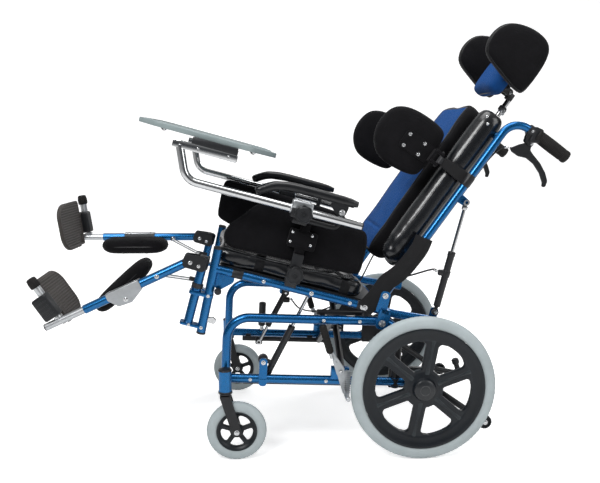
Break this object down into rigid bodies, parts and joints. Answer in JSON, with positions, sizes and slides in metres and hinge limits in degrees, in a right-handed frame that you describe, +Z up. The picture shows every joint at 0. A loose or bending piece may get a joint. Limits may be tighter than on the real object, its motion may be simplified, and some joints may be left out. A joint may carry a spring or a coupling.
{
  "type": "tilt-in-space wheelchair",
  "caption": "Child's positioning wheelchair with tilting seat, reclining back, head and trunk pads, tray, and raised leg supports with folding footplates.",
  "frame": {"origin": "on the floor under the middle of the chair's overall length and width", "axes": "+X to the user's left, -Y the way the user faces, +Z up"},
  "size_m": [0.686, 1.4803, 1.1888],
  "materials": {
    "black_leather": "gloss",
    "black_metal": "satin",
    "blue_fabric": "matte",
    "bright_metal": "polished",
    "cable_plastic": "satin",
    "foot_plastic": "matte",
    "frame_blue": "gloss",
    "grey_tyre": "matte",
    "grip_rubber": "matte",
    "silver_metal": "satin",
    "tray_plastic": "satin",
    "wheel_plastic": "satin"
  },
  "bodies": {
    "base": {"base_frame_left": "frame_blue", "base_frame_right": "frame_blue", "cross_brace": "black_metal"},
    "seat": {"seat_frame": "frame_blue", "seat_cushion": "black_leather", "arm_support_left": "black_metal", "arm_support_right": "black_metal", "side_guard_left": "black_leather", "side_guard_right": "black_leather"},
    "back": {"back_frame": "frame_blue", "back_cushion": "blue_fabric", "push_grip_left": "grip_rubber", "push_grip_right": "grip_rubber", "recline_cable": "cable_plastic", "tilt_cable": "cable_plastic"},
    "tray": {"tray_board": "tray_plastic", "tray_support_left": "bright_metal", "tray_support_right": "bright_metal"},
    "head_stem": {"head_stem": "silver_metal"},
    "head_pad": {"head_pad": "blue_fabric"},
    "rear_wheel_left": {"rear_rim_left": "wheel_plastic", "rear_tyre_left": "grey_tyre"},
    "caster_fork_left": {"caster_fork_left": "black_metal"},
    "caster_wheel_left": {"caster_wheel_left": "grey_tyre"},
    "wheel_lock_left": {"wheel_lock_lever_left": "silver_metal"},
    "anti_tip_wheel_left": {"anti_tip_wheel_left": "wheel_plastic"},
    "tilt_cylinder_left": {"tilt_cylinder_left": "black_metal"},
    "tilt_rod_left": {"tilt_rod_left": "silver_metal"},
    "armrest_pad_left": {"armrest_pad_left": "black_leather"},
    "hand_lever_left": {"hand_lever_left": "black_metal"},
    "recline_cylinder_left": {"recline_cylinder_left": "black_metal"},
    "recline_rod_left": {"recline_rod_left": "silver_metal"},
    "trunk_pad_left": {"trunk_pad_left": "black_leather"},
    "head_wing_left": {"head_wing_left": "black_leather"},
    "leg_hanger_left": {"leg_hanger_left": "frame_blue"},
    "leg_tube_left": {"leg_tube_left": "frame_blue", "leg_link_left": "silver_metal"},
    "foot_extension_left": {"foot_extension_left": "silver_metal"},
    "footplate_left": {"footplate_left": "foot_plastic"},
    "calf_pad_left": {"calf_pad_left": "black_leather"},
    "rear_wheel_right": {"rear_rim_right": "wheel_plastic", "rear_tyre_right": "grey_tyre"},
    "caster_fork_right": {"caster_fork_right": "black_metal"},
    "caster_wheel_right": {"caster_wheel_right": "grey_tyre"},
    "wheel_lock_right": {"wheel_lock_lever_right": "silver_metal"},
    "anti_tip_wheel_right": {"anti_tip_wheel_right": "wheel_plastic"},
    "tilt_cylinder_right": {"tilt_cylinder_right": "black_metal"},
    "tilt_rod_right": {"tilt_rod_right": "silver_metal"},
    "armrest_pad_right": {"armrest_pad_right": "black_leather"},
    "hand_lever_right": {"hand_lever_right": "black_metal"},
    "recline_cylinder_right": {"recline_cylinder_right": "black_metal"},
    "recline_rod_right": {"recline_rod_right": "silver_metal"},
    "trunk_pad_right": {"trunk_pad_right": "black_leather"},
    "head_wing_right": {"head_wing_right": "black_leather"},
    "leg_hanger_right": {"leg_hanger_right": "frame_blue"},
    "leg_tube_right": {"leg_tube_right": "frame_blue", "leg_link_right": "silver_metal"},
    "foot_extension_right": {"foot_extension_right": "silver_metal"},
    "footplate_right": {"footplate_right": "foot_plastic"},
    "calf_pad_right": {"calf_pad_right": "black_leather"}
  },
  "joints": [
    {"name": "seat_tilt", "type": "hinge", "parent": "base", "child": "seat", "pos_m": [0, 0.2264, 0.36837], "axis": [-1, 0, 0], "range_deg": [-12.5, 15], "deforming": ["tilt_cable"]},
    {"name": "back_recline", "type": "hinge", "parent": "seat", "child": "back", "pos_m": [0, 0.23579, 0.44439], "axis": [-1, 0, 0], "range_deg": [-20, 25], "deforming": ["tilt_cable", "recline_cable"]},
    {"name": "rear_wheel_left_spin", "type": "hinge", "parent": "base", "child": "rear_wheel_left", "pos_m": [0.317, 0.3323, 0.2], "axis": [1, 0, 0], "continuous": true},
    {"name": "caster_left_swivel", "type": "hinge", "parent": "base", "child": "caster_fork_left", "pos_m": [0.282, -0.2054, 0.21929], "axis": [0, 0, 1], "continuous": true},
    {"name": "caster_wheel_left_spin", "type": "hinge", "parent": "caster_fork_left", "child": "caster_wheel_left", "pos_m": [0.282, -0.1758, 0.082], "axis": [1, 0, 0], "continuous": true},
    {"name": "wheel_lock_left_release", "type": "hinge", "parent": "base", "child": "wheel_lock_left", "pos_m": [0.2645, 0.11184, 0.23681], "axis": [-1, 0, 0], "range_deg": [0, 35]},
    {"name": "anti_tip_wheel_left_spin", "type": "hinge", "parent": "base", "child": "anti_tip_wheel_left", "pos_m": [0.245, 0.53029, 0.06997], "axis": [1, 0, 0], "continuous": true},
    {"name": "armrest_pad_left_flip", "type": "hinge", "parent": "seat", "child": "armrest_pad_left", "pos_m": [0.266, 0.11096, 0.6778], "axis": [-1, 0, 0], "range_deg": [0, 100]},
    {"name": "hand_lever_left_squeeze", "type": "hinge", "parent": "back", "child": "hand_lever_left", "pos_m": [0.241, 0.63383, 0.8578], "axis": [1, 0, 0], "range_deg": [0, 25], "stiffness_Nm_per_rad": 0.6, "springref_deg": -5.73},
    {"name": "trunk_pad_left_swing", "type": "hinge", "parent": "back", "child": "trunk_pad_left", "pos_m": [0.2385, 0.38041, 0.81702], "axis": [0, 0.5835, 0.8121], "range_deg": [0, 90]},
    {"name": "rear_wheel_right_spin", "type": "hinge", "parent": "base", "child": "rear_wheel_right", "pos_m": [-0.317, 0.3323, 0.2], "axis": [1, 0, 0], "continuous": true},
    {"name": "caster_right_swivel", "type": "hinge", "parent": "base", "child": "caster_fork_right", "pos_m": [-0.282, -0.2054, 0.21929], "axis": [0, 0, 1], "continuous": true},
    {"name": "caster_wheel_right_spin", "type": "hinge", "parent": "caster_fork_right", "child": "caster_wheel_right", "pos_m": [-0.282, -0.1758, 0.082], "axis": [1, 0, 0], "continuous": true},
    {"name": "wheel_lock_right_release", "type": "hinge", "parent": "base", "child": "wheel_lock_right", "pos_m": [-0.2645, 0.11184, 0.23681], "axis": [-1, 0, 0], "range_deg": [0, 35]},
    {"name": "anti_tip_wheel_right_spin", "type": "hinge", "parent": "base", "child": "anti_tip_wheel_right", "pos_m": [-0.245, 0.53029, 0.06997], "axis": [1, 0, 0], "continuous": true},
    {"name": "armrest_pad_right_flip", "type": "hinge", "parent": "seat", "child": "armrest_pad_right", "pos_m": [-0.266, 0.11096, 0.6778], "axis": [-1, 0, 0], "range_deg": [0, 100]},
    {"name": "hand_lever_right_squeeze", "type": "hinge", "parent": "back", "child": "hand_lever_right", "pos_m": [-0.241, 0.63383, 0.8578], "axis": [1, 0, 0], "range_deg": [0, 25], "stiffness_Nm_per_rad": 0.6, "springref_deg": -5.73},
    {"name": "trunk_pad_right_swing", "type": "hinge", "parent": "back", "child": "trunk_pad_right", "pos_m": [-0.2385, 0.38041, 0.81702], "axis": [0, -0.5835, -0.8121], "range_deg": [0, 90]},
    {"name": "tilt_cylinder_left_swing", "type": "hinge", "parent": "base", "child": "tilt_cylinder_left", "pos_m": [0.2215, -0.10069, 0.26403], "axis": [1, 0, 0], "range_deg": [-1.1, 1.2]},
    {"name": "tilt_rod_left_slide", "type": "slide", "parent": "tilt_cylinder_left", "child": "tilt_rod_left", "axis": [0, 0.4623, 0.8867], "range_m": [-0.0462, 0.0554]},
    {"name": "tilt_cylinder_right_swing", "type": "hinge", "parent": "seat", "child": "tilt_cylinder_right", "pos_m": [-0.2, -0.01199, 0.36102], "axis": [1, 0, 0], "range_deg": [-20.4, 24.3]},
    {"name": "tilt_rod_right_slide", "type": "slide", "parent": "tilt_cylinder_right", "child": "tilt_rod_right", "axis": [0, -0.476, -0.8795], "range_m": [-0.0458, 0.0549]},
    {"name": "recline_cylinder_left_swing", "type": "hinge", "parent": "seat", "child": "recline_cylinder_left", "pos_m": [0.241, 0.37948, 0.39285], "axis": [1, 0, 0], "range_deg": [-24.9, 20]},
    {"name": "recline_rod_left_slide", "type": "slide", "parent": "recline_cylinder_left", "child": "recline_rod_left", "axis": [0, 0.2523, 0.9677], "range_m": [-0.0659, 0.0529]},
    {"name": "recline_cylinder_right_swing", "type": "hinge", "parent": "seat", "child": "recline_cylinder_right", "pos_m": [-0.241, 0.37948, 0.39285], "axis": [1, 0, 0], "range_deg": [-24.9, 20]},
    {"name": "recline_rod_right_slide", "type": "slide", "parent": "recline_cylinder_right", "child": "recline_rod_right", "axis": [0, 0.2523, 0.9677], "range_m": [-0.0659, 0.0529]},
    {"name": "tray_slide", "type": "slide", "parent": "seat", "child": "tray", "axis": [0, -0.9646, 0.2639], "range_m": [-0.06, 0.08]},
    {"name": "head_stem_slide", "type": "slide", "parent": "back", "child": "head_stem", "axis": [0, 0.5835, 0.8121], "range_m": [-0.03, 0.05]},
    {"name": "head_pad_nod", "type": "hinge", "parent": "head_stem", "child": "head_pad", "pos_m": [0, 0.65239, 1.00701], "axis": [1, 0, 0], "range_deg": [-20, 20]},
    {"name": "head_wing_left_fold", "type": "hinge", "parent": "head_pad", "child": "head_wing_left", "pos_m": [0.1035, 0.64328, 1.03203], "axis": [0, 0.5835, 0.8121], "range_deg": [0, 30]},
    {"name": "head_wing_right_fold", "type": "hinge", "parent": "head_pad", "child": "head_wing_right", "pos_m": [-0.1035, 0.64328, 1.03203], "axis": [0, -0.5835, -0.8121], "range_deg": [0, 30]},
    {"name": "leg_hanger_left_swing", "type": "hinge", "parent": "seat", "child": "leg_hanger_left", "pos_m": [0.237, -0.27035, 0.50427], "axis": [0, 0.2639, 0.9646], "range_deg": [0, 85]},
    {"name": "leg_elevation_left", "type": "hinge", "parent": "leg_hanger_left", "child": "leg_tube_left", "pos_m": [0.237, -0.29364, 0.54797], "axis": [1, 0, 0], "range_deg": [-24.9, 35.6]},
    {"name": "foot_extension_left_slide", "type": "slide", "parent": "leg_tube_left", "child": "foot_extension_left", "axis": [0, -0.9107, -0.4131], "range_m": [-0.03, 0.07]},
    {"name": "footplate_left_flip", "type": "hinge", "parent": "foot_extension_left", "child": "footplate_left", "pos_m": [0.237, -0.64426, 0.38892], "axis": [0, 0.5476, -0.8368], "range_deg": [-11, 24]},
    {"name": "calf_pad_left_turn", "type": "hinge", "parent": "leg_tube_left", "child": "calf_pad_left", "pos_m": [0.237, -0.46752, 0.44713], "axis": [1, 0, 0], "range_deg": [-30, 30]},
    {"name": "leg_hanger_right_swing", "type": "hinge", "parent": "seat", "child": "leg_hanger_right", "pos_m": [-0.237, -0.27035, 0.50427], "axis": [0, -0.2639, -0.9646], "range_deg": [0, 85]},
    {"name": "leg_elevation_right", "type": "hinge", "parent": "leg_hanger_right", "child": "leg_tube_right", "pos_m": [-0.237, -0.29364, 0.54797], "axis": [1, 0, 0], "range_deg": [0, 60.5]},
    {"name": "foot_extension_right_slide", "type": "slide", "parent": "leg_tube_right", "child": "foot_extension_right", "axis": [0, -1, 0.0087], "range_m": [-0.03, 0.07]},
    {"name": "footplate_right_flip", "type": "hinge", "parent": "foot_extension_right", "child": "footplate_right", "pos_m": [-0.237, -0.65463, 0.55112], "axis": [0, -0.1444, 0.9895], "range_deg": [0, 45]},
    {"name": "calf_pad_right_turn", "type": "hinge", "parent": "leg_tube_right", "child": "calf_pad_right", "pos_m": [-0.237, -0.49381, 0.52971], "axis": [1, 0, 0], "range_deg": [-30, 30]}
  ],
  "couplings": [
    {"joint": "tilt_cylinder_left_swing", "follows": "seat_tilt", "ratio": 0.0449},
    {"joint": "tilt_rod_left_slide", "follows": "seat_tilt", "m_per_rad": 0.20942},
    {"joint": "tilt_cylinder_right_swing", "follows": "seat_tilt", "ratio": 1.585},
    {"joint": "tilt_rod_right_slide", "follows": "seat_tilt", "m_per_rad": 0.2075},
    {"joint": "recline_cylinder_left_swing", "follows": "back_recline", "ratio": -0.975},
    {"joint": "recline_rod_left_slide", "follows": "back_recline", "m_per_rad": -0.14988},
    {"joint": "recline_cylinder_right_swing", "follows": "back_recline", "ratio": -0.975},
    {"joint": "recline_rod_right_slide", "follows": "back_recline", "m_per_rad": -0.14988}
  ]
}
